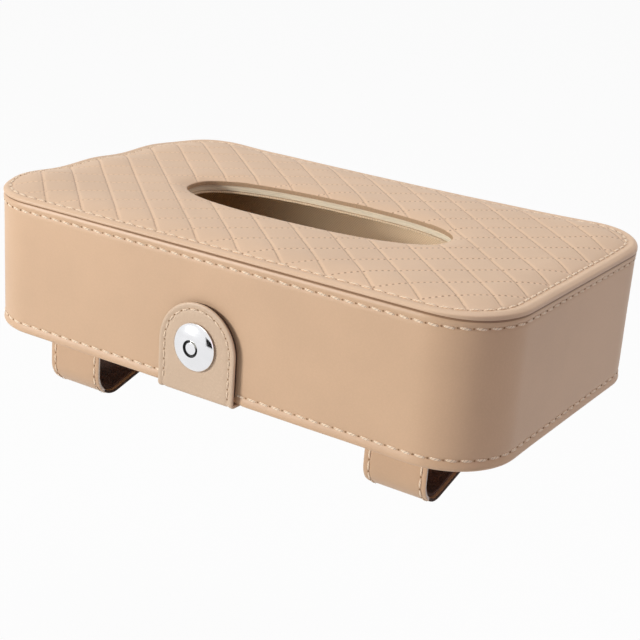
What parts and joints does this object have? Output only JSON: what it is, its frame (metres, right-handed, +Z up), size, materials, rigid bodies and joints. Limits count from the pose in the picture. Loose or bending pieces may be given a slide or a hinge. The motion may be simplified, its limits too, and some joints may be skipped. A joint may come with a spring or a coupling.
{
  "type": "car tissue holder",
  "caption": "Leather covered tissue box with a quilted top, an oval slot, a hinged base panel with a snap tab, and straps for a sun visor or armrest.",
  "frame": {"origin": "centre of the base panel's outer face, which is level with the bottom edge of the walls", "axes": "+X to the right along the box's long side, +Y from the front wall with the snap tab to the back, +Z up through the tissue slot"},
  "size_m": [0.23, 0.1476, 0.0826],
  "materials": {
    "leather": "smooth beige artificial leather, satin",
    "quilted_leather": "diamond quilted beige artificial leather, satin",
    "backing": "matt leather backing",
    "board": "cream fibre board with a cut edge",
    "foam": "thin padding foam",
    "lining": "brownish beige woven lining",
    "tape": "dark brown hook and loop tape",
    "chrome": "polished chrome plate",
    "magnet": "plain magnet"
  },
  "bodies": {
    "box": {"side_skin": "leather", "side_board": "board", "side_lining": "lining", "top_skin": "quilted_leather", "top_foam": "foam", "top_board": "board", "top_lining": "lining", "snap_socket": "chrome", "snap_magnet": "magnet", "snap_backing": "chrome", "hinge_leaf_wall": "leather"},
    "base_panel": {"base_skin": "leather", "base_board": "board", "base_lining": "lining", "hinge_leaf_base": "leather", "tab_root": "leather", "strap_left_root": "leather", "strap_left_hook_patch": "tape", "strap_right_root": "leather", "strap_right_hook_patch": "tape"},
    "snap_tab": {"tab_skin": "leather", "tab_lining": "backing", "snap_cap": "chrome", "snap_post": "chrome", "snap_armature": "chrome"},
    "left_strap": {"strap_left": "leather", "strap_left_tape": "tape"},
    "right_strap": {"strap_right": "leather", "strap_right_tape": "tape"}
  },
  "joints": [
    {"name": "base_hinge", "type": "hinge", "parent": "box", "child": "base_panel", "pos_m": [0, 0.0657, -0.001], "axis": [1, 0, 0], "range_deg": [0, 110]},
    {"name": "tab_hinge", "type": "hinge", "parent": "base_panel", "child": "snap_tab", "pos_m": [0, -0.0736, -0.0015], "axis": [1, 0, 0], "range_deg": [0, 160]},
    {"name": "left_strap_hinge", "type": "hinge", "parent": "base_panel", "child": "left_strap", "pos_m": [-0.0743, -0.0565, -0.00015], "axis": [-1, 0, 0], "range_deg": [0, 75]},
    {"name": "right_strap_hinge", "type": "hinge", "parent": "base_panel", "child": "right_strap", "pos_m": [0.0767, -0.0565, -0.00015], "axis": [-1, 0, 0], "range_deg": [0, 75]}
  ]
}
